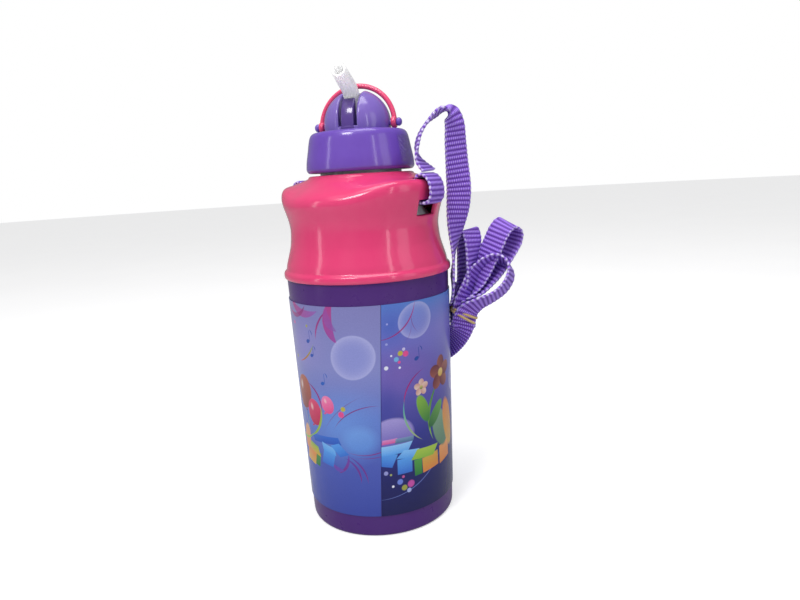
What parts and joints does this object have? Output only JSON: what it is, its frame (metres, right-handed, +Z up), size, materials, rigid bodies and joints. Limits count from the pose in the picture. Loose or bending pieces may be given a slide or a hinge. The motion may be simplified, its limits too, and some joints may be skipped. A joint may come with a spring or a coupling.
{
  "type": "kids water bottle",
  "caption": "Small drinking bottle with a picture cup, a waisted collar with strap eyes, a screw cap, a fold-down silicone spout pinched by a bail, and a webbing strap.",
  "frame": {"origin": "middle of the foot ring, on the surface that the bottle stands on", "axes": "+Z up along the bottle's axis, -Y the way the spout drinks, X along the bail's hinge"},
  "size_m": [0.1118, 0.0799, 0.2042],
  "materials": {
    "cup_purple": "gloss",
    "printed_film": "gloss",
    "collar_pink": "gloss",
    "liner_clear": "gloss",
    "seal_white": "matte",
    "cap_purple": "gloss",
    "dome_purple": "gloss",
    "pin_purple": "gloss",
    "bail_pink": "gloss",
    "silicone_white": "satin",
    "straw_clear": "gloss",
    "webbing_purple": "woven",
    "tie_gold": "satin"
  },
  "bodies": {
    "bottle": {"outer_cup": "cup_purple", "picture_sheet": "printed_film", "collar": "collar_pink", "inner_bottle": "liner_clear", "strap_eye_loop_right": "webbing_purple", "strap_eye_loop_left": "webbing_purple", "strap_arch": "webbing_purple", "strap_hank": "webbing_purple", "strap_tie": "tie_gold", "strap_tail": "webbing_purple"},
    "seal": {"cap_seal": "seal_white"},
    "cap": {"screw_cap": "cap_purple", "spout_dome": "dome_purple", "bail_pin_left": "pin_purple", "bail_pin_right": "pin_purple", "spout_root": "silicone_white", "straw_tube": "straw_clear"},
    "bail": {"bail": "bail_pink"},
    "spout": {"spout": "silicone_white"}
  },
  "joints": [
    {"name": "cap_lift", "type": "slide", "parent": "bottle", "child": "seal", "axis": [0, 0, 1], "range_m": [0, 0.009]},
    {"name": "cap_turn", "type": "hinge", "parent": "seal", "child": "cap", "pos_m": [0, 0, 0.17], "axis": [0, 0, 1], "range_deg": [0, 811]},
    {"name": "bail_swing", "type": "hinge", "parent": "cap", "child": "bail", "pos_m": [0, 0, 0.1803], "axis": [1, 0, 0], "range_deg": [0, 83]},
    {"name": "spout_fold", "type": "hinge", "parent": "cap", "child": "spout", "pos_m": [0, -0.0085, 0.1905], "axis": [1, 0, 0], "range_deg": [0, 84], "stiffness_Nm_per_rad": 0.002, "deforming": ["spout"]}
  ],
  "couplings": [
    {"joint": "cap_turn", "follows": "cap_lift", "rad_per_m": 1570.8},
    {"joint": "spout_fold", "follows": "bail_swing", "ratio": 1}
  ]
}
